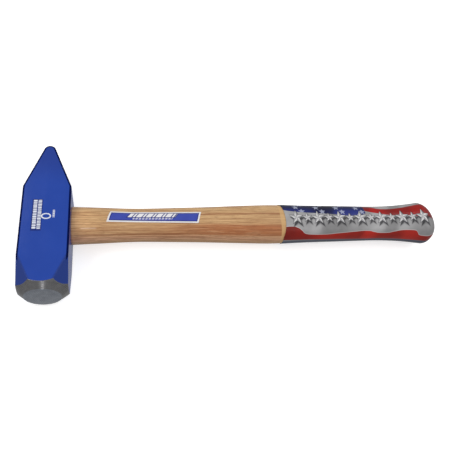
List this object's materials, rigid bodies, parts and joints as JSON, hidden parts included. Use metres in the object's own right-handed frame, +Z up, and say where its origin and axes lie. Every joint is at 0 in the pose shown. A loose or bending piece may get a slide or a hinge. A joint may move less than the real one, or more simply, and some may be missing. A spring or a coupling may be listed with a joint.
{
  "type": "cross peen hammer",
  "caption": "Blacksmith's cross peen hammer: forged head with a square-faced poll and a wedge peen across the handle, on an oval hickory handle with a film grip sleeve.",
  "frame": {"origin": "on the plane of the cheek that the head rests on, straight under the point where the head's axis crosses the handle's axis", "axes": "+X along the handle from the head to the butt, +Y along the head from the striking face to the peen, +Z up out of the other cheek"},
  "size_m": [0.3935, 0.1423, 0.0397],
  "materials": {
    "head_enamel": "glossy blue enamel, with the striking face and its chamfer ground to bare steel",
    "hickory": "clear lacquered hickory, grain along the handle",
    "wedge_hardwood": "raw hardwood, end grain up",
    "wedge_steel": "mill steel, driven flush",
    "printed_film": "glossy printed film in wavy red, pale grey and dark blue with stars",
    "label_film": null
  },
  "bodies": {
    "root": {"head": "head_enamel", "handle": "hickory", "wood_wedge": "wedge_hardwood", "steel_wedge_peen_side": "wedge_steel", "steel_wedge_face_side": "wedge_steel", "grip_sleeve": "printed_film", "handle_label": "label_film"}
  },
  "joints": []
}
